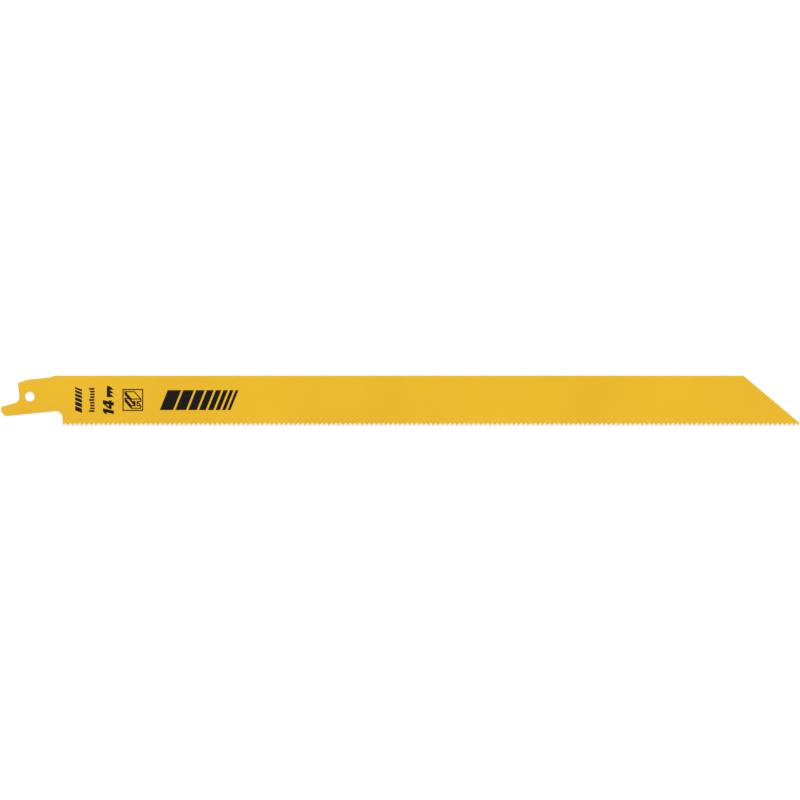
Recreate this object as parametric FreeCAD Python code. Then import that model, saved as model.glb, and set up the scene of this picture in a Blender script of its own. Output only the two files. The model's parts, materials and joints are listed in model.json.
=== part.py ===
"""Reciprocating saw blade for metal, one piece of thin sheet steel.

The blade lies flat. Its origin is the centre of the tang hole, half way through the sheet:
+X runs along the spine towards the nose, +Y from the teeth towards the spine, +Z out of the
marked side. All sizes are in millimetres and degrees.

The order follows the making of the real blade: the blank is punched with its tang and milled
with its gullets, its edges are broken, the hole is punched, and the teeth are bent aside to
their set.
"""

import FreeCAD
import Part

import math
import os

from FreeCAD import Vector

# Blade
OVERALL_LENGTH = 305.1  # tail end to nose, a nominal 12 inches
BLADE_WIDTH = 19.1  # spine to tooth points
SHEET_THICKNESS = 0.9
EDGE_BREAK = 0.1  # every sharp edge but those of the teeth

# Nose
CLIP_ANGLE = 40.1  # between the spine and the slanting end
CLIP_RADIUS = 0.4  # where the spine turns into the slanting end
NOSE_WALL = 0.69  # height of the blunt end, from the last tooth up to the slanting end
NOSE_RADIUS = 0.3

# Teeth, whose steep faces look at the tang, because the blade cuts on the pull stroke
TEETH_PER_INCH = 14
TOOTH_DEPTH = 1.02
FACE_LEAN = 12.0  # a steep face leans by this angle, so that the tooth is broad at its foot
GULLET_RADIUS = 0.5
TOOTH_SET = 0.22  # sideways reach of a bent tooth point
SET_PATTERN = (0, 1, -1)  # raker set: one straight tooth, one bent up, one bent down
LAST_TOOTH = 0.2  # a tooth that the nose leaves narrower than this is not cut

# Heel, where the toothed edge ends in front of the tang
HEEL_SETBACK = 12.7  # hole centre to the heel, at the level of the tooth points
HEEL_LEAN = 2.5  # the heel leans back towards the tang by this angle
HEEL_CUT = 0.18  # the heel cuts the first tooth off this far behind its point
HEEL_RADIUS = 3.175  # inside corner between the tang and the heel

# Tang, in its own axes: along the tang, and across it, from the centre of the hole
TANG_TILT = 5.8  # the tang falls away from the spine by this angle
TANG_WIDTH = 13.0
HOLE_DIAMETER = 3.7
SHOULDER_SETBACK = 3.93  # hole centre to the face that the clamp stops against
SHOULDER_RADIUS = 0.25
LEAD_IN_ANGLE = 10.0  # slope of the tang's top just behind the shoulder
LEAD_IN_DROP = 0.76  # how far the shoulder stands below the tang's top
LEAD_IN_RADIUS = 8.0
NOTCH_RADIUS = 2.2  # inside corner between the shoulder and the tail

# Tail, which guides the blade into the clamp
TAIL_DROP = 1.6  # tang axis to the tail's top, at the shoulder
TAIL_ANGLE = 9.4  # slope of the tail's top
TAIL_REACH = 11.45  # hole centre to the tail's upper corner
TAIL_END_LEAN = 8.0  # the tail's end leans over from square by this angle
TAIL_POINT_RADIUS = 0.65
TAIL_HEEL_RADIUS = 2.3

# Step from the tang's top up to the spine
STEP_SETBACK = 9.05  # hole centre to the foot of the step, along the tang
STEP_HEIGHT = 0.59
STEP_ANGLE = 38.0
STEP_FOOT_RADIUS = 2.0
STEP_TOP_RADIUS = 1.5

MM_PER_INCH = 25.4
CLOSE = 1e-6
PARTS_FOLDER = "parts"


def slope(angle):
    """Rise over run of a line at an angle in degrees."""
    return math.tan(math.radians(angle))


def turned(x, y, angle):
    """The flat point (x, y), turned about the origin by an angle in degrees."""
    c = math.cos(math.radians(angle))
    s = math.sin(math.radians(angle))
    return Vector(x * c - y * s, x * s + y * c, 0)


def on_tang(along, across):
    """A point given along and across the tang, in the blade's axes."""
    return turned(along, across, TANG_TILT)


def rounding(before, corner, after, radius):
    """The arc that rounds a corner: its start, middle, end and centre.

    The radius is limited to what the shorter of the two sides can hold.
    """
    to_before = before - corner
    to_after = after - corner
    half_angle = to_before.getAngle(to_after) / 2
    room = 0.49 * min(to_before.Length, to_after.Length)
    radius = min(radius, room * math.tan(half_angle))
    reach = radius / math.tan(half_angle)
    to_before.normalize()
    to_after.normalize()
    inward = (to_before + to_after).normalize()
    centre = corner + inward * (radius / math.sin(half_angle))
    middle = centre - inward * radius
    return corner + to_before * reach, middle, corner + to_after * reach, centre


def rounded_path(corners):
    """Edges from the first point to the last, with each corner between them rounded.

    corners is a list of (point, radius). The first and last points stay sharp.
    """
    edges = []
    here = corners[0][0]
    for (before, _), (point, radius), (after, _) in zip(corners, corners[1:], corners[2:]):
        start, middle, end, _ = rounding(before, point, after, radius)
        edges.append(Part.LineSegment(here, start).toShape())
        edges.append(Part.Arc(start, middle, end).toShape())
        here = end
    edges.append(Part.LineSegment(here, corners[-1][0]).toShape())
    return edges


def straight_path(points):
    """Straight edges from point to point, leaving out those of no length."""
    pairs = [(a, b) for a, b in zip(points, points[1:]) if a.distanceToPoint(b) > CLOSE]
    return [Part.LineSegment(a, b).toShape() for a, b in pairs]


def tail_corners():
    """Lower and upper corner of the tail's end, and the notch corner at the shoulder."""
    upper_drop = TAIL_DROP + (TAIL_REACH - SHOULDER_SETBACK) * slope(TAIL_ANGLE)
    end_height = TANG_WIDTH / 2 - upper_drop
    lower = on_tang(-TAIL_REACH + end_height * slope(TAIL_END_LEAN), -TANG_WIDTH / 2)
    upper = on_tang(-TAIL_REACH, -upper_drop)
    notch = on_tang(-SHOULDER_SETBACK, -TAIL_DROP)
    return lower, upper, notch


def tail_end_x():
    """Where the rounded tail ends, which is where the overall length starts."""
    _, middle, _, centre = rounding(*tail_corners(), TAIL_POINT_RADIUS)
    return centre.x - centre.distanceToPoint(middle)


# What follows from the sizes above
HALF_SHEET = SHEET_THICKNESS / 2
PITCH = MM_PER_INCH / TEETH_PER_INCH
STEP_FOOT = on_tang(STEP_SETBACK, TANG_WIDTH / 2)
SPINE_Y = STEP_FOOT.y + STEP_HEIGHT
TIP_Y = SPINE_Y - BLADE_WIDTH
NOSE_X = tail_end_x() + OVERALL_LENGTH
FIRST_POINT_X = HEEL_SETBACK - HEEL_CUT
TOOTH_COUNT = int((NOSE_X - FIRST_POINT_X - LAST_TOOTH) / PITCH) + 1

# The gullet's arc lies between a tooth's back and the next tooth's face, and touches both.
# Its centre is given from the point of the tooth whose back it touches.
ARC_UP = TOOTH_DEPTH - GULLET_RADIUS
ARC_ALONG = PITCH - ARC_UP * slope(FACE_LEAN) - GULLET_RADIUS / math.cos(math.radians(FACE_LEAN))
BACK_ANGLE = math.degrees(
    math.atan(ARC_UP / ARC_ALONG) + math.asin(GULLET_RADIUS / math.hypot(ARC_ALONG, ARC_UP))
)

# A set tooth bends where the gullet in front of it ends
BEND_HEIGHT = ARC_UP + GULLET_RADIUS * math.sin(math.radians(FACE_LEAN))
BEND_FRONT = -BEND_HEIGHT * slope(FACE_LEAN)
BEND_BACK = BEND_HEIGHT / slope(BACK_ANGLE)


def on_tooth(number, along, height):
    """A place given from the point of a tooth, in the blade's axes. The heel cuts tooth 0."""
    return Vector(FIRST_POINT_X + number * PITCH + along, TIP_Y + height, 0)


def on_heel(height):
    """The point of the heel at a height above the tooth points."""
    return Vector(HEEL_SETBACK - height * slope(HEEL_LEAN), TIP_Y + height, 0)


def heel_foot():
    """Where the heel cuts the back of the first tooth."""
    return on_heel(HEEL_CUT / (1 / slope(BACK_ANGLE) + slope(HEEL_LEAN)))


def heel_corner():
    """Where the heel would meet the tang's lower edge, if that corner were sharp."""
    tang_edge = on_tang(0, -TANG_WIDTH / 2)
    rise = tang_edge.y + (HEEL_SETBACK - tang_edge.x) * slope(TANG_TILT) - TIP_Y
    return on_heel(rise / (1 + slope(HEEL_LEAN) * slope(TANG_TILT)))


def set_of(number):
    """Sideways reach of a tooth point: positive up, negative down, 0 for a straight tooth.

    The first tooth and one that the nose cuts short of its full width stay straight.
    """
    if number == 0 or on_tooth(number, BEND_BACK + EDGE_BREAK, 0).x > NOSE_X:
        return 0
    return TOOTH_SET * SET_PATTERN[number % len(SET_PATTERN)]


def tooth(number):
    """The corner that ends a tooth's front. A set tooth is left off at the bend."""
    if number == 0:
        return heel_foot()
    if set_of(number):
        return on_tooth(number, BEND_BACK, BEND_HEIGHT)
    return on_tooth(number, 0, 0)


def gullet(number):
    """The arc behind a tooth, from its back over the gullet's floor to the next tooth."""
    centre = on_tooth(number, ARC_ALONG, ARC_UP)
    start = 90 + BACK_ANGLE
    turns = (start, (start + FACE_LEAN) / 2, FACE_LEAN)
    return Part.Arc(*[centre + turned(GULLET_RADIUS, 0, turn) for turn in turns])


def toothed_edge():
    """Edges from the foot of the heel to the nose, and the point where they end."""
    edges = []
    last = TOOTH_COUNT - 1
    front = tooth(0)
    for number in range(last):
        arc = gullet(number)
        edges += straight_path([front, tooth(number), arc.StartPoint])
        edges.append(arc.toShape())
        front = arc.EndPoint
    run = NOSE_X - on_tooth(last, 0, 0).x
    rise = min(run * slope(BACK_ANGLE), TOOTH_DEPTH)
    back_end = on_tooth(last, rise / slope(BACK_ANGLE), rise)
    nose_end = on_tooth(last, run, rise)
    return edges + straight_path([front, tooth(last), back_end, nose_end]), nose_end


def outline():
    """The blank's outline with its gullets, as one closed wire in the middle of the sheet."""
    tail_lower, tail_upper, notch = tail_corners()
    lead_in = LEAD_IN_DROP / slope(LEAD_IN_ANGLE)
    teeth, nose_end = toothed_edge()
    nose_corner = nose_end + Vector(0, NOSE_WALL, 0)
    clip_run = (SPINE_Y - nose_corner.y) / slope(CLIP_ANGLE)
    corners = [
        (heel_foot(), 0),
        (heel_corner(), HEEL_RADIUS),
        (tail_lower, TAIL_HEEL_RADIUS),
        (tail_upper, TAIL_POINT_RADIUS),
        (notch, NOTCH_RADIUS),
        (on_tang(-SHOULDER_SETBACK, TANG_WIDTH / 2 - LEAD_IN_DROP), SHOULDER_RADIUS),
        (on_tang(lead_in - SHOULDER_SETBACK, TANG_WIDTH / 2), LEAD_IN_RADIUS),
        (STEP_FOOT, STEP_FOOT_RADIUS),
        (Vector(STEP_FOOT.x + STEP_HEIGHT / slope(STEP_ANGLE), SPINE_Y, 0), STEP_TOP_RADIUS),
        (Vector(NOSE_X - clip_run, SPINE_Y, 0), CLIP_RADIUS),
        (nose_corner, NOSE_RADIUS),
        (nose_end, 0),
    ]
    return Part.Wire(Part.__sortEdges__(rounded_path(corners) + teeth))


def is_plain_edge(edge):
    """Whether an edge runs along a flat side of the sheet, and not round a tooth."""
    middle = edge.valueAt((edge.FirstParameter + edge.LastParameter) / 2)
    on_side = abs(abs(middle.z) - HALF_SHEET) < CLOSE
    above_teeth = middle.y > TIP_Y + TOOTH_DEPTH + CLOSE
    on_end = middle.x < HEEL_SETBACK or middle.x > NOSE_X - CLOSE
    return on_side and (above_teeth or on_end)


def blank():
    """The sheet with its tang and gullets, its edges broken, before the teeth are set."""
    face = Part.Face(outline())
    face.translate(Vector(0, 0, -HALF_SHEET))
    sheet = face.extrude(Vector(0, 0, SHEET_THICKNESS))
    return sheet.makeChamfer(EDGE_BREAK, [e for e in sheet.Edges if is_plain_edge(e)])


def tang_hole():
    """The cutter for the pin hole, widened at both mouths to break their edges."""
    radius = HOLE_DIAMETER / 2
    mouth = radius + EDGE_BREAK
    bore = Part.makeCylinder(radius, SHEET_THICKNESS, Vector(0, 0, -HALF_SHEET))
    for side in (-1, 1):
        face_centre = Vector(0, 0, side * HALF_SHEET)
        bore = bore.fuse(Part.makeCone(mouth, radius, EDGE_BREAK, face_centre, -face_centre))
    return bore


def set_tip(number):
    """The bent part of a set tooth, from the bend down to its point."""
    corners = [
        on_tooth(number, BEND_FRONT, BEND_HEIGHT),
        on_tooth(number, BEND_BACK, BEND_HEIGHT),
        on_tooth(number, 0, 0) + Vector(0, 0, set_of(number)),
    ]
    face = Part.Face(Part.makePolygon([*corners, corners[0]]))
    face.translate(Vector(0, 0, -HALF_SHEET))
    return face.extrude(Vector(0, 0, SHEET_THICKNESS))


def saw_blade():
    """The finished blade."""
    tips = [set_tip(number) for number in range(TOOTH_COUNT) if set_of(number)]
    return blank().cut(tang_hole()).fuse(tips).removeSplitter()


def main():
    """Builds the blade and writes its file."""
    os.makedirs(PARTS_FOLDER, exist_ok=True)
    blade = saw_blade()
    blade.Solids[0].exportStep(os.path.join(PARTS_FOLDER, "saw_blade.step"))
    box = blade.BoundBox
    print(f"{len(blade.Solids)} solid, {TOOTH_COUNT} teeth, valid {blade.isValid()}")
    print(f"{box.XLength:.2f} x {box.YLength:.2f} x {box.ZLength:.2f} mm, {blade.Volume:.1f} mm3")


main()
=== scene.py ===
"""Reciprocating saw blade: its enamel, its edges and its print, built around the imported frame.

The blade lies flat on a white table with its marked side up. Sizes are written in millimetres
and degrees, and each finished mesh is scaled to metres. The frame's axes hold throughout: +X
runs along the spine to the nose, +Y from the teeth to the spine, and +Z out of the marked side.
"""

import json
import logging
import math
from collections.abc import Iterable
from dataclasses import dataclass, replace
from enum import Enum

import bmesh
import bpy
from mathutils import Matrix, Vector


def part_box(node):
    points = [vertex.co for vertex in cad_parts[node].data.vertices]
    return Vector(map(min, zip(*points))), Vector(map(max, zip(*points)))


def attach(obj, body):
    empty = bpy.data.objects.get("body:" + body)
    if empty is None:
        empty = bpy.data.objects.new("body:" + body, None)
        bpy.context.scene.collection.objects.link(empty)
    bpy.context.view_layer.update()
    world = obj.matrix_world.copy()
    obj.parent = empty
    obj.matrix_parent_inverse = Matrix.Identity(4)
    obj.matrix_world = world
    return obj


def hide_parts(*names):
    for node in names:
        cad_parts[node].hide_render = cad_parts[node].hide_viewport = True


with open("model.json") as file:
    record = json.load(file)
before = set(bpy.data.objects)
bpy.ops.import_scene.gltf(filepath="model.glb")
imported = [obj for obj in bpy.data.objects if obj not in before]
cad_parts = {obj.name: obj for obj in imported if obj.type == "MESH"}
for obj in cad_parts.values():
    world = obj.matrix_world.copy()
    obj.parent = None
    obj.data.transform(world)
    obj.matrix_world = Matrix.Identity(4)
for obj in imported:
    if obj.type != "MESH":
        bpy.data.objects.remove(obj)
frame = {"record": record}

LOG = logging.getLogger("saw_blade")
BODY = "root"
BLADE_NODE = "saw_blade"
MM = 0.001
MM_PER_INCH = 25.4
CLOSE = 1e-3  # millimetres: nearer than this is the same place
ON_LINE = 1e-4  # millimetres: nearer than this to a dividing line is on it

# Sockets of a Mix or Math node share their names with others of it, so they go by number
MIX_COLOUR_A = 6
MIX_COLOUR_B = 7
MIX_COLOUR_RESULT = 2
MIX_NUMBER_A = 2
MIX_NUMBER_B = 3
MIX_NUMBER_RESULT = 0
MATH_A = 0
MATH_B = 1

# A noise seldom leaves this range, so its middle is spread over all of 0 to 1
NOISE_LOW = 0.35
NOISE_HIGH = 0.65


class ToothSet(Enum):
    """Which way the point of a tooth is bent out of the sheet."""

    RAKER = 0
    UP = 1
    DOWN = -1


class Sharp(Enum):
    """What is rounded: the corners of a flat outline, or the edges of a solid."""

    CORNERS = "VERTICES"
    EDGES = "EDGES"


class Reading(Enum):
    """The direction in which a mark is read, as its turn in degrees from the blade's length."""

    ALONG = 0
    UPWARDS = 90


# Shared helpers


def linear(hex_colour: str) -> tuple[float, float, float, float]:
    """Turns an sRGB colour into the linear one that shaders use.

    Args:
        hex_colour: The colour as "#rrggbb".

    Returns:
        Red, green, blue and an alpha of 1.
    """
    channels = [int(hex_colour[i : i + 2], 16) / 255 for i in (1, 3, 5)]
    red, green, blue = [c / 12.92 if c <= 0.04045 else ((c + 0.055) / 1.055) ** 2.4 for c in channels]
    return red, green, blue, 1.0


def slope(angle: float) -> float:
    """Rise over run of a line at an angle in degrees."""
    return math.tan(math.radians(angle))


def per_metre(size_mm: float) -> float:
    """Scale of a pattern on Object coordinates whose features are a size in millimetres apart."""
    return 1 / (size_mm * MM)


def add_node(
    tree: bpy.types.NodeTree, kind: str, links: dict | None = None, **settings: object
) -> bpy.types.Node:
    """Adds a node to a tree.

    Args:
        tree: The tree to add it to.
        kind: Blender's name for the node's type.
        links: What goes into each input, by its name or number: another node's output or a value.
        **settings: Properties to set on the node itself.

    Returns:
        The new node.
    """
    node = tree.nodes.new(kind)
    for name, value in settings.items():
        setattr(node, name, value)
    for name, value in (links or {}).items():
        if isinstance(value, bpy.types.NodeSocket):
            tree.links.new(value, node.inputs[name])
        else:
            node.inputs[name].default_value = value
    return node


def thicken(bm: bmesh.types.BMesh, thickness: float) -> None:
    """Makes a flat drawing a closed solid, upwards from where it lies.

    Args:
        bm: The drawing, as faces at one height.
        thickness: Its thickness in millimetres.
    """
    raised = bmesh.ops.extrude_face_region(bm, geom=bm.faces)
    verts = [g for g in raised["geom"] if isinstance(g, bmesh.types.BMVert)]
    bmesh.ops.translate(bm, vec=(0, 0, thickness), verts=verts)
    bmesh.ops.recalc_face_normals(bm, faces=bm.faces)


def round_off(
    bm: bmesh.types.BMesh,
    places: list[bmesh.types.BMVert] | list[bmesh.types.BMEdge],
    kind: Sharp,
    reach: float,
    steps: int,
) -> None:
    """Rounds corners or edges.

    Args:
        bm: The shape that they are part of.
        places: The corners or the edges, all rounded alike.
        kind: Which of the two they are.
        reach: How far from each of them the rounding starts, in millimetres.
        steps: How many straight steps make the rounding.
    """
    bmesh.ops.bevel(
        bm,
        geom=places,
        offset=reach,
        offset_type="OFFSET",
        segments=steps,
        profile=0.5,
        affect=kind.value,
        clamp_overlap=False,
        material=-1,
    )


def vert_at(bm: bmesh.types.BMesh, place: Vector) -> bmesh.types.BMVert:
    """The vertex that lies nearest to a place."""
    return min(bm.verts, key=lambda vert: (vert.co - place).length)


def draw_block(
    bm: bmesh.types.BMesh, width: float, height: float, x: float = 0.0, y: float = 0.0
) -> bmesh.types.BMFace:
    """Draws a flat rectangle.

    Args:
        bm: The drawing.
        width: Its size along X.
        height: Its size along Y.
        x: X of its middle.
        y: Y of its middle.

    Returns:
        The rectangle.
    """
    place = Matrix.Translation((x, y, 0)) @ Matrix.Diagonal((width, height, 1, 1))
    # A grid's size is half of its side
    corners = bmesh.ops.create_grid(bm, x_segments=1, y_segments=1, size=0.5, matrix=place)["verts"]
    return corners[0].link_faces[0]


def lean_drawing(bm: bmesh.types.BMesh, angle: float) -> None:
    """Leans a flat drawing about the X axis, to the right above it, by an angle in degrees."""
    for vert in bm.verts:
        vert.co.x += vert.co.y * slope(angle)


def centre_drawing(bm: bmesh.types.BMesh) -> Vector:
    """Moves a flat drawing so that its middle lies at the origin.

    Args:
        bm: The drawing.

    Returns:
        Its size.
    """
    low = Vector([min(vert.co[axis] for vert in bm.verts) for axis in range(3)])
    high = Vector([max(vert.co[axis] for vert in bm.verts) for axis in range(3)])
    bmesh.ops.translate(bm, vec=-(low + high) / 2, verts=bm.verts)
    return high - low


def new_piece(
    name: str, bm: bmesh.types.BMesh, materials: list[bpy.types.Material]
) -> bpy.types.Object:
    """Turns a finished bmesh in millimetres into an object that moves with the blade.

    Args:
        name: The piece's name.
        bm: Its shape, in its place. It is freed here.
        materials: Its materials, in the order of its faces' indices.

    Returns:
        The object, at the origin and unturned.
    """
    bmesh.ops.scale(bm, vec=(MM, MM, MM), verts=bm.verts)
    bmesh.ops.recalc_face_normals(bm, faces=bm.faces)
    mesh = bpy.data.meshes.new(name)
    bm.to_mesh(mesh)
    bm.free()
    for material in materials:
        mesh.materials.append(material)
    piece = bpy.data.objects.new(name, mesh)
    bpy.context.scene.collection.objects.link(piece)
    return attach(piece, BODY)


# Finishes


@dataclass(frozen=True)
class Enamel:
    """Yellow stoving enamel, sprayed on the hardened sheet and baked.

    It gives the eye one even, opaque colour with a satin gloss. The film dries to a faint
    orange peel, and it follows the grinding lines along the sheet under it. Towards the tooth
    points it draws back and thins, and the dark steel below dulls it a little.
    """

    name: str = "stoving_enamel"
    colour: str = "#eebb21"
    lean: str = "#e9b61e"  # where the film is a little thinner
    point: str = "#b98d2a"  # at the tooth points
    ior: float = 1.5
    roughness: float = 0.24
    line_roughness: float = 0.34  # along the crests of the grinding lines
    drift_size: float = 38.0  # slow drift of the colour along the sheet
    peel_size: float = 1.1  # real orange peel is 0.5 to 2 mm from crest to crest
    peel_height: float = 0.035  # real peel is under 0.01 mm deep, drawn deeper so that it shows
    line_length: float = 30.0
    line_width: float = 0.5  # real lines are near 0.05 mm apart, drawn coarser so that they show
    line_height: float = 0.008  # real lines are near 0.002 mm deep, drawn deeper for the same reason
    point_level: float = 0.0  # Y of the tooth points
    point_fade: float = 0.55  # height over which the film regains its thickness

    def material(self) -> bpy.types.Material:
        """Builds the material.

        Returns:
            The enamel, patterned on Object coordinates.
        """
        material = bpy.data.materials.new(self.name)
        material.use_nodes = True
        tree = material.node_tree
        shader = tree.nodes["Principled BSDF"]
        shader.inputs["IOR"].default_value = self.ior
        place = add_node(tree, "ShaderNodeTexCoord").outputs["Object"]
        lines = self._lines(tree, place)
        gloss = add_node(
            tree,
            "ShaderNodeMapRange",
            {"Value": lines, "To Min": self.roughness, "To Max": self.line_roughness},
        )
        tree.links.new(self._colour(tree, place), shader.inputs["Base Color"])
        tree.links.new(gloss.outputs["Result"], shader.inputs["Roughness"])
        tree.links.new(self._relief(tree, place, lines), shader.inputs["Normal"])
        return material

    def _colour(self, tree: bpy.types.NodeTree, place: bpy.types.NodeSocket) -> bpy.types.NodeSocket:
        """Colour of the film: its slow drift, and its thinning towards the tooth points.

        Args:
            tree: The material's tree.
            place: Object coordinates.

        Returns:
            The colour.
        """
        noise = add_node(
            tree,
            "ShaderNodeTexNoise",
            {"Vector": place, "Scale": per_metre(self.drift_size), "Detail": 2.0, "Roughness": 0.5},
        )
        drift = add_node(
            tree,
            "ShaderNodeMapRange",
            {"Value": noise.outputs["Fac"], "From Min": NOISE_LOW, "From Max": NOISE_HIGH},
        )
        film = add_node(
            tree,
            "ShaderNodeMix",
            {
                "Factor": drift.outputs["Result"],
                MIX_COLOUR_A: linear(self.colour),
                MIX_COLOUR_B: linear(self.lean),
            },
            data_type="RGBA",
        )
        height = add_node(tree, "ShaderNodeSeparateXYZ", {"Vector": place}).outputs["Y"]
        thinning = add_node(
            tree,
            "ShaderNodeMapRange",
            {
                "Value": height,
                "From Min": self.point_level * MM,
                "From Max": (self.point_level + self.point_fade) * MM,
                "To Min": 1.0,
                "To Max": 0.0,
            },
            interpolation_type="SMOOTHSTEP",
        )
        toothed = add_node(
            tree,
            "ShaderNodeMix",
            {
                "Factor": thinning.outputs["Result"],
                MIX_COLOUR_A: film.outputs[MIX_COLOUR_RESULT],
                MIX_COLOUR_B: linear(self.point),
            },
            data_type="RGBA",
        )
        return toothed.outputs[MIX_COLOUR_RESULT]

    def _lines(self, tree: bpy.types.NodeTree, place: bpy.types.NodeSocket) -> bpy.types.NodeSocket:
        """The grinding lines of the sheet, which run along it.

        Args:
            tree: The material's tree.
            place: Object coordinates.

        Returns:
            Their height, from 0 to 1.
        """
        across = per_metre(self.line_width)
        along = add_node(
            tree,
            "ShaderNodeMapping",
            {"Vector": place, "Scale": (per_metre(self.line_length), across, across)},
        )
        noise = add_node(
            tree,
            "ShaderNodeTexNoise",
            {"Vector": along.outputs["Vector"], "Scale": 1.0, "Detail": 2.0, "Roughness": 0.6},
        )
        return noise.outputs["Fac"]

    def _relief(
        self, tree: bpy.types.NodeTree, place: bpy.types.NodeSocket, lines: bpy.types.NodeSocket
    ) -> bpy.types.NodeSocket:
        """Relief of the film: orange peel over the lines of the ground sheet.

        Args:
            tree: The material's tree.
            place: Object coordinates.
            lines: Height of the grinding lines.

        Returns:
            The normal.
        """
        ground = add_node(
            tree, "ShaderNodeBump", {"Height": lines, "Distance": self.line_height * MM}
        )
        peel = add_node(
            tree,
            "ShaderNodeTexNoise",
            {"Vector": place, "Scale": per_metre(self.peel_size), "Detail": 1.0, "Roughness": 0.4},
        )
        film = add_node(
            tree,
            "ShaderNodeBump",
            {
                "Height": peel.outputs["Fac"],
                "Distance": self.peel_height * MM,
                "Normal": ground.outputs["Normal"],
            },
        )
        return film.outputs["Normal"]


@dataclass(frozen=True)
class PadInk:
    """Black pad-printing ink, pressed on the enamel by a silicone pad.

    It gives the eye a flat brown-black with a duller gloss than the enamel. The pad leaves the
    film thinner in small spots, where it is a shade browner and a little rougher.
    """

    name: str = "pad_printing_ink"
    colour: str = "#0f0b0a"
    lean: str = "#1c140e"
    roughness: float = 0.48
    lean_roughness: float = 0.58
    ior: float = 1.48
    specular: float = 0.2  # its matting agent scatters most of the gloss away
    spot_size: float = 0.6  # real spots are near 0.1 mm, drawn coarser so that they show
    spot_height: float = 0.002

    def material(self) -> bpy.types.Material:
        """Builds the material.

        Returns:
            The ink, patterned on Object coordinates.
        """
        material = bpy.data.materials.new(self.name)
        material.use_nodes = True
        tree = material.node_tree
        shader = tree.nodes["Principled BSDF"]
        shader.inputs["IOR"].default_value = self.ior
        shader.inputs["Specular IOR Level"].default_value = self.specular
        place = add_node(tree, "ShaderNodeTexCoord").outputs["Object"]
        spots = add_node(
            tree,
            "ShaderNodeTexNoise",
            {"Vector": place, "Scale": per_metre(self.spot_size), "Detail": 3.0, "Roughness": 0.6},
        ).outputs["Fac"]
        film = add_node(
            tree,
            "ShaderNodeMix",
            {"Factor": spots, MIX_COLOUR_A: linear(self.colour), MIX_COLOUR_B: linear(self.lean)},
            data_type="RGBA",
        )
        gloss = add_node(
            tree,
            "ShaderNodeMapRange",
            {"Value": spots, "To Min": self.roughness, "To Max": self.lean_roughness},
        )
        relief = add_node(
            tree,
            "ShaderNodeBump",
            {"Height": spots, "Distance": self.spot_height * MM},
        )
        tree.links.new(film.outputs[MIX_COLOUR_RESULT], shader.inputs["Base Color"])
        tree.links.new(gloss.outputs["Result"], shader.inputs["Roughness"])
        tree.links.new(relief.outputs["Normal"], shader.inputs["Normal"])
        return material


@dataclass(frozen=True)
class WhiteTable:
    """Matt white laminate under the blade.

    It gives the eye plain white with the blade's soft shadow on it.
    """

    name: str = "white_laminate"
    colour: str = "#bcbcbc"
    roughness: float = 0.9
    specular: float = 0.0
    glow: float = 0.62  # makes an unshaded place white to the camera and to reflections

    def material(self) -> bpy.types.Material:
        """Builds the material.

        Returns:
            The laminate.
        """
        material = bpy.data.materials.new(self.name)
        material.use_nodes = True
        tree = material.node_tree
        shader = tree.nodes["Principled BSDF"]
        shader.inputs["Base Color"].default_value = linear(self.colour)
        shader.inputs["Roughness"].default_value = self.roughness
        shader.inputs["Specular IOR Level"].default_value = self.specular
        shader.inputs["Emission Color"].default_value = (1, 1, 1, 1)
        ray = add_node(tree, "ShaderNodeLightPath")
        seen = add_node(
            tree,
            "ShaderNodeMath",
            {MATH_A: ray.outputs["Is Camera Ray"], MATH_B: ray.outputs["Is Glossy Ray"]},
            operation="MAXIMUM",
        )
        glow = add_node(
            tree,
            "ShaderNodeMath",
            {MATH_A: seen.outputs["Value"], MATH_B: self.glow},
            operation="MULTIPLY",
        )
        tree.links.new(glow.outputs["Value"], shader.inputs["Emission Strength"])
        return material


# Blade


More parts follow.
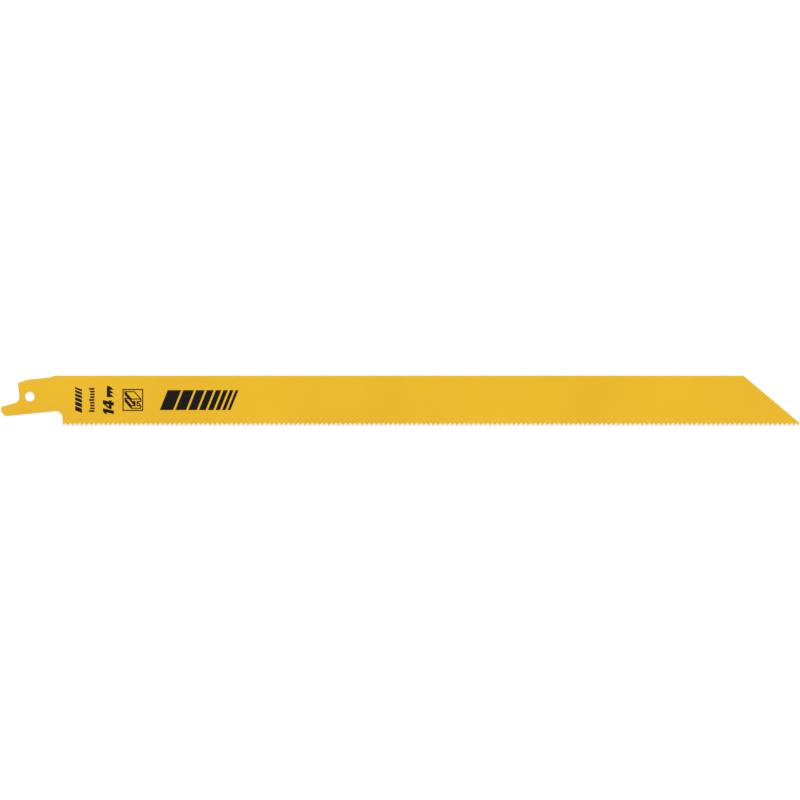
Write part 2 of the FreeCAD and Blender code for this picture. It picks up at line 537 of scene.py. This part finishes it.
@dataclass
class Blade:
    """The steel sheet with its tang, pin hole and set teeth, under its enamel.

    The first fields come from the frame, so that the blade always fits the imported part.
    """

    low: Vector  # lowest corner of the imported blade
    high: Vector  # highest corner
    thickness: float
    hole_radius: float

    clip_angle: float = 40.1  # between the spine and the slanting end
    clip_radius: float = 0.4
    nose_wall: float = 0.69  # height of the blunt end, from the last tooth up to the slanting end
    nose_radius: float = 0.3

    teeth_per_inch: float = 14
    tooth_depth: float = 1.02
    face_lean: float = 12.0  # a steep face leans by this angle
    gullet_radius: float = 0.5
    last_tooth: float = 0.2  # a narrower rest at the nose is no tooth
    set_pattern: tuple[ToothSet, ...] = (ToothSet.RAKER, ToothSet.UP, ToothSet.DOWN)

    heel_setback: float = 12.7  # hole centre to the heel, at the level of the tooth points
    heel_lean: float = 2.5
    heel_cut: float = 0.18  # the heel cuts the first tooth off this far behind its point
    heel_radius: float = 3.175

    tang_tilt: float = 5.8  # the tang falls away from the spine by this angle
    tang_width: float = 13.0
    shoulder_setback: float = 3.93  # hole centre to the face that the clamp stops against
    shoulder_radius: float = 0.25
    lead_in_angle: float = 10.0
    lead_in_drop: float = 0.76
    lead_in_radius: float = 8.0
    notch_radius: float = 2.2

    tail_drop: float = 1.6
    tail_angle: float = 9.4
    tail_reach: float = 11.45
    tail_end_lean: float = 8.0
    tail_point_radius: float = 0.65
    tail_heel_radius: float = 2.3

    step_setback: float = 9.05
    step_height: float = 0.59
    step_angle: float = 38.0
    step_foot_radius: float = 2.0
    step_top_radius: float = 1.5

    edge_break: float = 0.1
    tooth_break: float = 0.03  # enamel softens even the milled edges of the teeth
    break_steps: int = 3
    tooth_break_steps: int = 1
    arc_steps: int = 12
    gullet_steps: int = 8
    hole_steps: int = 64
    hole_patch: float = 2.9  # half the side of the square of sheet that the hole is cut from
    corner_share: float = 0.49  # the most of a side that the rounding at one of its ends takes
    side_normal: float = 0.9  # a face whose normal rises or falls more than this is on a side
    shading_angle: float = 35.0  # edges sharper than this keep their crease in the shading
    rim_angle: float = 60.0  # edges of the solid sharper than this are rounded

    @property
    def half_sheet(self) -> float:
        """Half of the sheet's thickness."""
        return self.thickness / 2

    @property
    def pitch(self) -> float:
        """Distance from tooth to tooth."""
        return MM_PER_INCH / self.teeth_per_inch

    @property
    def first_point(self) -> float:
        """X of the first tooth's point, which the heel cuts off."""
        return self.heel_setback - self.heel_cut

    @property
    def gullet_count(self) -> int:
        """Number of gullets. There is a tooth at each end of the row, so one tooth more."""
        return int((self.high.x - self.first_point - self.last_tooth) / self.pitch)

    @property
    def last_point(self) -> float:
        """X of the last tooth's point."""
        return self.first_point + self.gullet_count * self.pitch

    @property
    def arc_centre(self) -> Vector:
        """Works out where a gullet's arc lies.

        Returns:
            Its centre, seen from the point of the tooth whose back it touches.
        """
        lean = math.radians(self.face_lean)
        up = self.tooth_depth - self.gullet_radius
        return Vector((self.pitch - up * math.tan(lean) - self.gullet_radius / math.cos(lean), up, 0))

    @property
    def back_angle(self) -> float:
        """Works out how steeply a tooth's back rises, so that it just touches the gullet's arc.

        Returns:
            Its angle in degrees.
        """
        centre = self.arc_centre
        lift = math.asin(self.gullet_radius / centre.length)
        return math.degrees(math.atan(centre.y / centre.x) + lift)

    @property
    def bend_height(self) -> float:
        """Height of the line at which a set tooth bends, above its point: its gullet ends there."""
        return self.arc_centre.y + self.gullet_radius * math.sin(math.radians(self.face_lean))

    @property
    def nose_rise(self) -> float:
        """Height above the tooth points at which the last tooth's back meets the nose."""
        return min((self.high.x - self.last_point) * slope(self.back_angle), self.tooth_depth)

    def build(self, face: bpy.types.Material, rim: bpy.types.Material) -> bpy.types.Object:
        """Builds the blade.

        Args:
            face: The enamel on the two sides.
            rim: The enamel round the edges, in the gullets and in the hole. It is darker than on the
                sides: partly thinner film over the cut edges, partly painted shade of the faces that turn
                away from the light.

        Returns:
            The blade, as one closed mesh.
        """
        bm = bmesh.new()
        self._cut_outline(bm)
        self._cut_hole(bm)
        bmesh.ops.translate(bm, vec=(0, 0, -self.half_sheet), verts=bm.verts)
        thicken(bm, self.thickness)
        self._break_edges(bm)
        self._set_teeth(bm)
        bmesh.ops.remove_doubles(bm, verts=bm.verts, dist=CLOSE)
        for part in bm.faces:
            part.smooth = True
            # The two sides take the face enamel; walls, rounded edges, gullets and hole take the darker
            # rim enamel, which is partly painted shade
            part.material_index = 0 if abs(part.normal.z) > self.side_normal else 1
        blade = new_piece("blade", bm, [face, rim])
        blade.data.set_sharp_from_angle(angle=math.radians(self.shading_angle))
        flats = blade.modifiers.new("flat_sides", "WEIGHTED_NORMAL")
        flats.keep_sharp = True
        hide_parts(BLADE_NODE)
        return blade

    def _on_tang(self, along: float, across: float) -> Vector:
        """A point given along and across the tang, in the blade's axes."""
        return Matrix.Rotation(math.radians(self.tang_tilt), 3, "Z") @ Vector((along, across, 0))

    def _on_heel(self, height: float) -> Vector:
        """The point of the heel at a height above the tooth points."""
        return Vector((self.heel_setback - height * slope(self.heel_lean), self.low.y + height, 0))

    def _heel_corner(self) -> Vector:
        """Works out the corner between the heel and the tang.

        Returns:
            Where the heel would meet the tang's lower edge, if that corner were sharp.
        """
        tang_edge = self._on_tang(0, -self.tang_width / 2)
        rise = tang_edge.y + (self.heel_setback - tang_edge.x) * slope(self.tang_tilt) - self.low.y
        return self._on_heel(rise / (1 + slope(self.heel_lean) * slope(self.tang_tilt)))

    def _corners(self) -> list[tuple[Vector, float]]:
        """Corners of the plain outline and the radius of each, from the last tooth to the heel.

        Returns:
            Pairs of a point and a radius. A radius of 0 stays sharp.
        """
        half_tang = self.tang_width / 2
        upper_drop = self.tail_drop + (self.tail_reach - self.shoulder_setback) * slope(self.tail_angle)
        end_shift = (half_tang - upper_drop) * slope(self.tail_end_lean)
        lead_in = self.lead_in_drop / slope(self.lead_in_angle)
        foot = self._on_tang(self.step_setback, half_tang)
        spine = self.high.y
        nose = self.high.x
        nose_end = self.low.y + self.nose_rise
        nose_top = nose_end + self.nose_wall
        clip_run = (spine - nose_top) / slope(self.clip_angle)
        return [
            (Vector((nose, nose_end, 0)), 0),
            (Vector((nose, nose_top, 0)), self.nose_radius),
            (Vector((nose - clip_run, spine, 0)), self.clip_radius),
            (Vector((foot.x + self.step_height / slope(self.step_angle), spine, 0)), self.step_top_radius),
            (foot, self.step_foot_radius),
            (self._on_tang(lead_in - self.shoulder_setback, half_tang), self.lead_in_radius),
            (self._on_tang(-self.shoulder_setback, half_tang - self.lead_in_drop), self.shoulder_radius),
            (self._on_tang(-self.shoulder_setback, -self.tail_drop), self.notch_radius),
            (self._on_tang(-self.tail_reach, -upper_drop), self.tail_point_radius),
            (self._on_tang(end_shift - self.tail_reach, -half_tang), self.tail_heel_radius),
            (self._heel_corner(), self.heel_radius),
            (self._on_heel(self.heel_cut / (1 / slope(self.back_angle) + slope(self.heel_lean))), 0),
        ]

    def _draw_teeth(self, bm: bmesh.types.BMesh) -> None:
        """Draws the line of the toothed edge: one gullet between two points, repeated.

        Args:
            bm: The empty bmesh to draw in.
        """
        point = Vector((self.first_point, self.low.y, 0))
        centre = point + self.arc_centre
        turn = 90 + self.back_angle
        radius = Matrix.Rotation(math.radians(turn), 3, "Z") @ Vector((self.gullet_radius, 0, 0))
        start = bm.verts.new(centre + radius)
        arc = bmesh.ops.spin(
            bm,
            geom=[start],
            cent=centre,
            axis=(0, 0, -1),
            angle=math.radians(turn - self.face_lean),
            steps=self.gullet_steps,
        )
        bm.edges.new((bm.verts.new(point), start))
        bm.edges.new((arc["geom_last"][0], bm.verts.new(point + Vector((self.pitch, 0, 0)))))
        bmesh.ops.spin(
            bm,
            geom=[*bm.verts, *bm.edges],
            cent=point,
            axis=(0, 0, 1),
            dvec=(self.pitch, 0, 0),
            angle=0,
            steps=self.gullet_count - 1,
            use_duplicate=True,
        )
        bmesh.ops.remove_doubles(bm, verts=bm.verts, dist=CLOSE)

    def _cut_outline(self, bm: bmesh.types.BMesh) -> None:
        """Draws the flat sheet with its teeth and its rounded corners.

        Args:
            bm: The empty bmesh to draw in.
        """
        self._draw_teeth(bm)
        corners = self._corners()
        first = min(bm.verts, key=lambda vert: vert.co.x)
        last = max(bm.verts, key=lambda vert: vert.co.x)
        first.co = corners[-1][0]
        line = [last, *[bm.verts.new(point) for point, _ in corners[:-1]], first]
        for pair in zip(line, line[1:]):
            bm.edges.new(pair)
        bmesh.ops.edgeloop_fill(bm, edges=bm.edges)
        for (before, _), (point, radius), (after, _) in zip(corners, corners[1:], corners[2:]):
            to_before = before - point
            to_after = after - point
            room = self.corner_share * min(to_before.length, to_after.length)
            reach = min(radius / math.tan(to_before.angle(to_after) / 2), room)
            round_off(bm, [vert_at(bm, point)], Sharp.CORNERS, reach, self.arc_steps)
        self._slice(bm, bm.faces, Vector((0, self.low.y + self.bend_height, 0)), Vector((0, 1, 0)))

    def _slice(
        self,
        bm: bmesh.types.BMesh,
        faces: Iterable[bmesh.types.BMFace],
        place: Vector,
        normal: Vector,
    ) -> None:
        """Divides flat faces along a straight line.

        Args:
            bm: The bmesh that the faces are in.
            faces: The faces to divide.
            place: A point on the line.
            normal: The direction square to it.
        """
        faces = list(faces)
        edges = {edge for part in faces for edge in part.edges}
        verts = {vert for part in faces for vert in part.verts}
        bmesh.ops.bisect_plane(
            bm, geom=[*verts, *edges, *faces], dist=ON_LINE, plane_co=place, plane_no=normal
        )

    def _tang_patch(self, bm: bmesh.types.BMesh) -> bmesh.types.BMFace:
        """The face of the flat sheet that lies round the centre of the hole."""
        return min(bm.faces, key=lambda part: part.calc_center_bounds().length)

    def _cut_hole(self, bm: bmesh.types.BMesh) -> None:
        """Opens the pin hole in the flat sheet.

        Args:
            bm: The sheet.
        """
        for side in (-1, 1):
            self._slice(bm, bm.faces, Vector((side * self.hole_patch, 0, 0)), Vector((1, 0, 0)))
        for side in (-1, 1):
            patch = self._tang_patch(bm)
            self._slice(bm, [patch], Vector((0, side * self.hole_patch, 0)), Vector((0, 1, 0)))
        # The square's four sides are cut into as many edges as the circle has
        patch = self._tang_patch(bm)
        bmesh.ops.subdivide_edges(bm, edges=list(patch.edges), cuts=self.hole_steps // 4 - 1)
        patch = self._tang_patch(bm)
        rim = list(patch.edges)
        bmesh.ops.delete(bm, geom=[patch], context="FACES_ONLY")
        circle = bmesh.ops.create_circle(bm, segments=self.hole_steps, radius=self.hole_radius)
        hole = {edge for vert in circle["verts"] for edge in vert.link_edges}
        bmesh.ops.bridge_loops(bm, edges=[*rim, *hole])

    def _rims(self, bm: bmesh.types.BMesh) -> list[bmesh.types.BMEdge]:
        """The sharp edges that run along the two sides of the sheet."""
        sharp = [edge for edge in bm.edges if edge.calc_face_angle() > math.radians(self.rim_angle)]
        return [edge for edge in sharp if abs(edge.verts[0].co.z - edge.verts[1].co.z) < CLOSE]

    def _is_milled(self, edge: bmesh.types.BMEdge) -> bool:
        """Whether an edge of the outline runs round a tooth or a gullet.

        Args:
            edge: The edge.

        Returns:
            False where it runs along the plain outline.
        """
        middle = (edge.verts[0].co + edge.verts[1].co) / 2
        top = self.tooth_depth if middle.x < self.last_point else self.nose_rise
        return middle.x > self.heel_setback and middle.y < self.low.y + top + CLOSE

    def _break_edges(self, bm: bmesh.types.BMesh) -> None:
        """Rounds the edges of the solid: least at the teeth, which are left as milled.

        Args:
            bm: The solid.
        """
        plain = [edge for edge in self._rims(bm) if not self._is_milled(edge)]
        round_off(bm, plain, Sharp.EDGES, self.edge_break, self.break_steps)
        round_off(bm, self._rims(bm), Sharp.EDGES, self.tooth_break, self.tooth_break_steps)

    def _set_teeth(self, bm: bmesh.types.BMesh) -> None:
        """Bends the points of the set teeth out of the sheet, by more the nearer to the point.

        Args:
            bm: The solid.
        """
        bend_level = self.low.y + self.bend_height
        reach = self.high.z - self.half_sheet
        back = self.bend_height / slope(self.back_angle)
        front = self.bend_height * slope(self.face_lean)
        for vert in bm.verts:
            number = round((vert.co.x - self.first_point - (back - front) / 2) / self.pitch)
            if vert.co.y < bend_level - CLOSE and number < self.gullet_count:
                side = self.set_pattern[number % len(self.set_pattern)].value
                vert.co.z += side * reach * (bend_level - vert.co.y) / self.bend_height


# Print


@dataclass
class Mark:
    """A printed mark: a flat drawing, made a thin closed film of ink on the marked side."""

    name: str
    place: tuple[float, float]  # its centre on the blade
    length: float  # along the direction of reading
    height: float  # square to it
    reading: Reading = Reading.ALONG
    film: float = 0.02
    sunk: float = 0.01  # how far the film reaches into the enamel, so that no gap shows

    def draw(self, bm: bmesh.types.BMesh) -> None:
        """Draws the mark flat, read along X, with its middle at the origin.

        Args:
            bm: The empty bmesh to draw in.
        """
        raise NotImplementedError

    def build(self, ink: bpy.types.Material, level: float) -> bpy.types.Object:
        """Builds the mark.

        Args:
            ink: Its finish.
            level: Height of the marked side.

        Returns:
            The mark, as one closed mesh.
        """
        bm = bmesh.new()
        self.draw(bm)
        bmesh.ops.remove_doubles(bm, verts=bm.verts, dist=CLOSE)
        thicken(bm, self.film + self.sunk)
        lay = Matrix.Translation((*self.place, level - self.sunk))
        turn = Matrix.Rotation(math.radians(self.reading.value), 4, "Z")
        bmesh.ops.transform(bm, matrix=lay @ turn, verts=bm.verts)
        return new_piece(self.name, bm, [ink])


@dataclass
class FadingBars(Mark):
    """A row of slanting bars, each narrower than the one before."""

    bars: int = 8
    gap: float = 0.8
    fade: float = 0.8  # width of a bar as a share of the one before
    lean: float = 22.0

    def draw(self, bm: bmesh.types.BMesh) -> None:
        """Draws upright bars side by side, and then leans the whole row.

        Args:
            bm: The empty bmesh to draw in.
        """
        slant = self.height * slope(self.lean)
        shares = [self.fade**number for number in range(self.bars)]
        widest = (self.length - slant - (self.bars - 1) * self.gap) / sum(shares)
        left = (slant - self.length) / 2
        for share in shares:
            width = widest * share
            draw_block(bm, width, self.height, x=left + width / 2)
            left += width + self.gap
        lean_drawing(bm, self.lean)


@dataclass
class TickRow(Mark):
    """A row of ticks like a rule's, some of them longer than the others."""

    ticks: int = 9
    tick: float = 0.68
    short: float = 0.8  # a short tick's share of the height
    tall_every: int = 4  # from one tick of full height to the next

    def draw(self, bm: bmesh.types.BMesh) -> None:
        """Draws the ticks up from one line.

        Args:
            bm: The empty bmesh to draw in.
        """
        row = self.length - self.tick
        for number in range(self.ticks):
            height = self.height * (1 if number % self.tall_every == 0 else self.short)
            x = row * (number / (self.ticks - 1) - 0.5)
            draw_block(bm, self.tick, height, x, y=(height - self.height) / 2)


@dataclass
class ToothNumber(Mark):
    """The number 14 in bold slanting figures: how many teeth there are in an inch."""

    # All but the lean are for figures one unit high, which are then fitted to the mark's size
    stroke: float = 0.34  # width of an upright
    bar: float = 0.25  # thickness of the cross-bar and the flag
    gap: float = 0.1  # from figure to figure
    one_width: float = 0.5
    flag_top: float = 0.86  # height of the flag's outer end
    flag_rise: float = 0.07  # by which its underside climbs towards the upright
    flag_cut: float = 0.08  # by which its upper side cuts into the upright's flat top
    four_upright: float = 0.4  # from the figure's left end to its upright
    foot: float = 0.2  # height of the cross-bar's underside
    bar_end: float = 0.13  # reach of the cross-bar past the upright
    slant_cut: float = 0.04  # by which the slanting side cuts its corners off
    opening_top: float = 0.74
    opening_left: float = 0.2  # from the figure's left end to the opening
    lean: float = 14.0

    def draw(self, bm: bmesh.types.BMesh) -> None:
        """Draws the two figures upright and one unit high, leans them, and fits them to their size.

        Args:
            bm: The empty bmesh to draw in.
        """
        flag = self.one_width - self.stroke
        self._draw_loop(
            bm,
            (flag, 0),
            (self.one_width, 0),
            (self.one_width, 1),
            (flag + self.flag_cut, 1),
            (0, self.flag_top),
            (0, self.flag_top - self.bar),
            (flag, self.flag_top + self.flag_rise - self.bar),
        )
        left = self.one_width + self.gap
        stem = left + self.four_upright
        right = stem + self.stroke
        arm = self.foot + self.bar
        self._draw_loop(
            bm,
            (stem, 0),
            (right, 0),
            (right, self.foot),
            (right + self.bar_end, self.foot),
            (right + self.bar_end, arm),
            (right, arm),
            (right, 1),
            (stem - self.slant_cut, 1),
            (left, arm + self.slant_cut),
            (left, self.foot),
            (stem, self.foot),
        )
        self._draw_loop(bm, (stem, arm), (stem, self.opening_top), (left + self.opening_left, arm))
        bmesh.ops.triangle_fill(bm, use_beauty=True, edges=bm.edges)
        lean_drawing(bm, self.lean)
        size = centre_drawing(bm)
        bmesh.ops.scale(bm, vec=(self.length / size.x, self.height / size.y, 1), verts=bm.verts)

    def _draw_loop(self, bm: bmesh.types.BMesh, *corners: tuple[float, float]) -> None:
        """Draws a closed line, round a figure or round the opening in it.

        Args:
            bm: The drawing.
            *corners: Its corners in order.
        """
        verts = [bm.verts.new((x, y, 0)) for x, y in corners]
        for pair in zip(verts, [*verts[1:], verts[0]]):
            bm.edges.new(pair)


@dataclass
class ToothSign(Mark):
    """A short piece of toothed edge, which says that the number beside it counts teeth."""

    teeth: int = 3
    tooth_height: float = 1.6

    def draw(self, bm: bmesh.types.BMesh) -> None:
        """Draws a plain block and makes its lower side a row of teeth.

        Args:
            bm: The empty bmesh to draw in.
        """
        draw_block(bm, self.length, self.height)
        lower = min(bm.edges, key=lambda edge: edge.verts[0].co.y + edge.verts[1].co.y)
        bmesh.ops.subdivide_edges(bm, edges=[lower], cuts=2 * self.teeth - 2)
        line = sorted((vert for vert in bm.verts if vert.co.y < 0), key=lambda vert: vert.co.x)
        for number, vert in enumerate(line):
            tooth, is_root = divmod(number, 2)
            vert.co.x = self.length * ((tooth + is_root) / self.teeth - 0.5)
            vert.co.y += is_root * self.tooth_height


@dataclass
class BeamSign(Mark):
    """A steel beam drawn in outline in a frame: the kind of work that the blade is for."""

    line: float = 0.42
    section: float = 3.6  # width of the beam's end
    depth: float = 3.5  # height of the beam's end
    flange: float = 0.95
    web: float = 0.8
    rise: float = 2.8  # how far above its near end the beam's far end is drawn

    def draw(self, bm: bmesh.types.BMesh) -> None:
        """Draws the beam, and the frame round it.

        Args:
            bm: The empty bmesh to draw in.
        """
        self._outline(bm, self._draw_beam(bm))
        centre_drawing(bm)
        panel = draw_block(bm, self.length, self.height)
        bmesh.ops.inset_individual(bm, faces=[panel], thickness=self.line, use_even_offset=True)
        bmesh.ops.delete(bm, geom=[panel], context="FACES")

    def _draw_beam(self, bm: bmesh.types.BMesh) -> list[bmesh.types.BMFace]:
        """Draws the sides of the beam that can be seen, from its right, above its near end.

        Args:
            bm: The empty bmesh to draw in.

        Returns:
            The sides that stay light.
        """
        half = self.section / 2
        web = self.web / 2
        top = self.depth / 2
        inner = top - self.flange
        channel = 2 * inner
        right = [(half, -top), (half, -inner), (web, -inner), (web, inner), (half, inner), (half, top)]
        left = [(-x, y) for x, y in reversed(right)]
        near = [bm.verts.new((x, y, 0)) for x, y in right + left]
        _, floor_r, foot_r, neck_r, _, top_r, top_l, eave_l, neck_l, foot_l, floor_l, low_l = near
        # It runs back along the diagonal of its two channels, so each shows half of its floor
        back = Vector((web - half, channel, 0)) * (self.rise / channel)
        end = bm.faces.new(near)
        bm.faces.new((neck_l, foot_l, eave_l))
        right_floor = bm.faces.new((foot_r, floor_r, neck_r))
        sides = [bm.edges.get(pair) for pair in ((top_r, top_l), (top_l, eave_l), (floor_l, low_l))]
        far = bmesh.ops.extrude_edge_only(bm, edges=sides)["geom"]
        bmesh.ops.translate(bm, vec=back, verts=[g for g in far if isinstance(g, bmesh.types.BMVert)])
        top_side = next(part for part in sides[0].link_faces if part != end)
        eave = bm.edges.get((eave_l, vert_at(bm, eave_l.co + back)))
        _, meeting = bmesh.utils.edge_split(eave, eave_l, 1 - channel / self.rise)
        left_floor = bm.faces.new((foot_l, floor_l, vert_at(bm, floor_l.co + back), meeting, eave_l))
        return [end, top_side, left_floor, right_floor]

    def _outline(self, bm: bmesh.types.BMesh, light: list[bmesh.types.BMFace]) -> None:
        """Leaves the light sides open inside a line of ink.

        Args:
            bm: The drawing.
            light: The sides to open.
        """
        bmesh.ops.recalc_face_normals(bm, faces=bm.faces)
        bmesh.ops.inset_individual(bm, faces=light, thickness=self.line / 2, use_even_offset=True)
        rim = bmesh.ops.inset_region(
            bm, faces=bm.faces, thickness=-self.line / 2, use_boundary=True, use_even_offset=True
        )
        bmesh.ops.delete(bm, geom=[*rim["faces"], *light], context="FACES")


# Studio


@dataclass(frozen=True)
class SoftLamp:
    """A far lamp as wide as a softbox, by the part of the sky that it shines from."""

    name: str
    azimuth: float
    elevation: float
    strength: float
    width: float = 35.0  # angle that it fills, which softens the edge of its shadow


@dataclass
class Studio:
    """White table, plain soft light, and the camera straight above the blade's middle."""

    centre: tuple[float, float] = (141.52, -1.31)  # what the camera looks at
    field: float = 305.76  # width of the table that the picture shows
    lens: float = 200.0
    sensor: float = 36.0
    table_size: float = 6000.0
    lamps: tuple[SoftLamp, ...] = (SoftLamp("key", 125, 50, 1.46), SoftLamp("fill", -50, 45, 0.85))
    sky: float = 0.5  # what the sky adds to the lamps on every surface
    mirrored_low: float = 0.45  # what glossy paint mirrors near the horizon
    mirrored_high: float = 0.02  # and overhead, dim so that the flat blade shows no glare
    low_until: float = 0.25  # the sine of the height at which the first begins to give way
    high_from: float = 0.8  # and at which only the second is left

    def light(self) -> None:
        """Lights the table evenly from all round."""
        world = bpy.data.worlds.new("soft_studio")
        bpy.context.scene.world = world
        world.use_nodes = True
        tree = world.node_tree
        ray = add_node(tree, "ShaderNodeLightPath")
        direction = add_node(tree, "ShaderNodeTexCoord").outputs["Generated"]
        height = add_node(tree, "ShaderNodeSeparateXYZ", {"Vector": direction}).outputs["Z"]
        mirrored = add_node(
            tree,
            "ShaderNodeMapRange",
            {
                "Value": height,
                "From Min": self.low_until,
                "From Max": self.high_from,
                "To Min": self.mirrored_low,
                "To Max": self.mirrored_high,
            },
            interpolation_type="SMOOTHSTEP",
        )
        lit = add_node(
            tree,
            "ShaderNodeMix",
            {
                "Factor": ray.outputs["Is Glossy Ray"],
                MIX_NUMBER_A: self.sky,
                MIX_NUMBER_B: mirrored.outputs["Result"],
            },
        )
        clear = add_node(
            tree,
            "ShaderNodeMath",
            {MATH_A: ray.outputs["Is Camera Ray"], MATH_B: ray.outputs["Is Transmission Ray"]},
            operation="MAXIMUM",
        )
        strength = add_node(
            tree,
            "ShaderNodeMix",
            {
                "Factor": clear.outputs["Value"],
                MIX_NUMBER_A: lit.outputs[MIX_NUMBER_RESULT],
                MIX_NUMBER_B: 1.0,
            },
        )
        background = tree.nodes["Background"]
        background.inputs["Color"].default_value = (1, 1, 1, 1)
        tree.links.new(strength.outputs[MIX_NUMBER_RESULT], background.inputs["Strength"])
        for lamp in self.lamps:
            light = bpy.data.lights.new(lamp.name, "SUN")
            light.energy = lamp.strength
            light.angle = math.radians(lamp.width)
            sun = bpy.data.objects.new(lamp.name, light)
            sun.rotation_euler = (0, math.radians(90 - lamp.elevation), math.radians(lamp.azimuth))
            bpy.context.scene.collection.objects.link(sun)

    def furnish(self, level: float, finish: bpy.types.Material) -> None:
        """Puts the table under the blade.

        Args:
            level: Height of its top.
            finish: Its finish.
        """
        bm = bmesh.new()
        place = Matrix.Translation((self.centre[0] * MM, self.centre[1] * MM, level * MM))
        bmesh.ops.create_grid(bm, x_segments=1, y_segments=1, size=self.table_size * MM / 2, matrix=place)
        mesh = bpy.data.meshes.new("table")
        bm.to_mesh(mesh)
        bm.free()
        mesh.materials.append(finish)
        table = bpy.data.objects.new("table", mesh)
        bpy.context.scene.collection.objects.link(table)

    def aim(self) -> None:
        """Hangs the camera over the blade, with the spine at the top of the picture."""
        lens = bpy.data.cameras.new("camera")
        lens.lens = self.lens
        lens.sensor_width = self.sensor
        camera = bpy.data.objects.new("camera", lens)
        distance = self.field * self.lens / self.sensor
        camera.location = (self.centre[0] * MM, self.centre[1] * MM, distance * MM)
        bpy.context.scene.collection.objects.link(camera)
        bpy.context.scene.camera = camera


def report(piece: bpy.types.Object) -> None:
    """Writes a finished piece's size to the log.

    Args:
        piece: The piece.
    """
    size = " x ".join(f"{side / MM:.2f}" for side in piece.dimensions)
    LOG.info("%s: %s mm, %d faces", piece.name, size, len(piece.data.polygons))


def main() -> None:
    logging.basicConfig(level=logging.INFO, format="%(name)s: %(message)s")
    record = frame["record"]
    mounts = {mount["name"]: mount for mount in record["mounts"]}
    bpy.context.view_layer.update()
    low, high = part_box(BLADE_NODE)
    body = Blade(
        low=low / MM,
        high=high / MM,
        thickness=2 * mounts["printed_side"]["pos_m"][2] / MM,
        hole_radius=mounts["tang_hole"]["dims"]["r_mm"],
    )
    enamel = Enamel(point_level=body.low.y)
    # A darker copy of the enamel for the walls and rounded edges: partly thinner film over the cut edges,
    # partly painted shade of the faces that turn away from the light
    shaded_edge_enamel = replace(
        enamel, name="stoving_enamel_on_edges_with_painted_shade", colour="#dcab20", lean="#d2a11c", roughness=0.3
    )
    report(body.build(enamel.material(), shaded_edge_enamel.material()))
    ink = PadInk().material()
    marks = [
        FadingBars("small_bars", (18.7, -1.3), 10.0, 2.6, Reading.UPWARDS, bars=6, gap=0.4, fade=0.85),
        TickRow("tick_row", (23.75, -1.3), 9.2, 2.1, Reading.UPWARDS),
        ToothNumber("tooth_number", (30.1, -4.0), 5.4, 4.2, Reading.UPWARDS),
        ToothSign("tooth_sign", (30.85, 1.9), 4.2, 2.7, Reading.UPWARDS),
        BeamSign("beam_sign", (39.45, -1.3), 7.9, 8.4),
        FadingBars("large_bars", (64.75, -1.35), 30.1, 7.6),
    ]
    for mark in marks:
        report(mark.build(ink, body.half_sheet))
    studio = Studio()
    studio.light()
    studio.furnish(body.low.z, WhiteTable().material())
    studio.aim()
    bpy.context.scene.view_settings.view_transform = "Standard"


if __name__ == "__main__":
    main()
